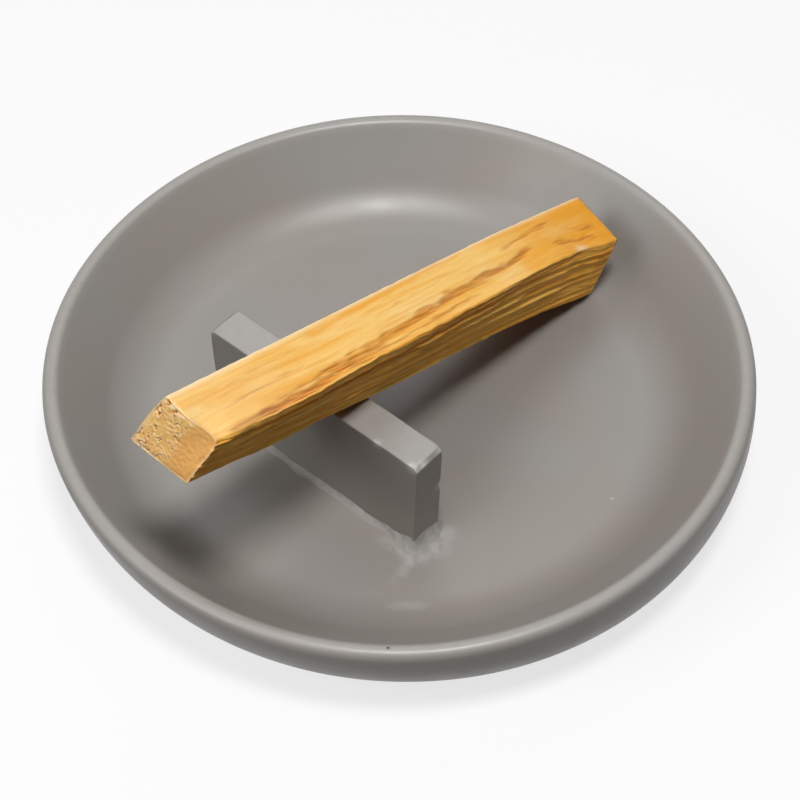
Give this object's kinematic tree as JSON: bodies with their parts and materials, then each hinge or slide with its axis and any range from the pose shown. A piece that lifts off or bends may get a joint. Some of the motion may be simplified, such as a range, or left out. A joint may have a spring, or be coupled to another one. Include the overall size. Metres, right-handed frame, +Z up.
{
  "type": "palo santo holder",
  "caption": "Shallow round ceramic dish with an upright bar luted across its floor; a split palo santo stick leans on the bar, tail on the floor and tip raised to smoulder.",
  "frame": {"origin": "on the table under the centre of the round dish", "axes": "+Z up through the dish; +X along the rest bar; the stick runs along Y, with its raised tip towards -Y and its tail towards +Y"},
  "size_m": [0.12, 0.12, 0.0511],
  "materials": {
    "stoneware": "matte warm grey stoneware with a faint satin",
    "slip": "dry matte slip, paler than the clay",
    "palo_santo": "raw split wood, golden with brown streaks"
  },
  "bodies": {
    "holder": {"dish": "stoneware", "rest_bar": "stoneware", "slip_seam": "slip"},
    "stick": {"palo_santo_stick": "palo_santo"}
  },
  "joints": [
    {"name": "stick_lift", "type": "slide", "parent": "holder", "child": "stick", "axis": [0, 0, 1], "range_m": [0, 0.06]}
  ]
}
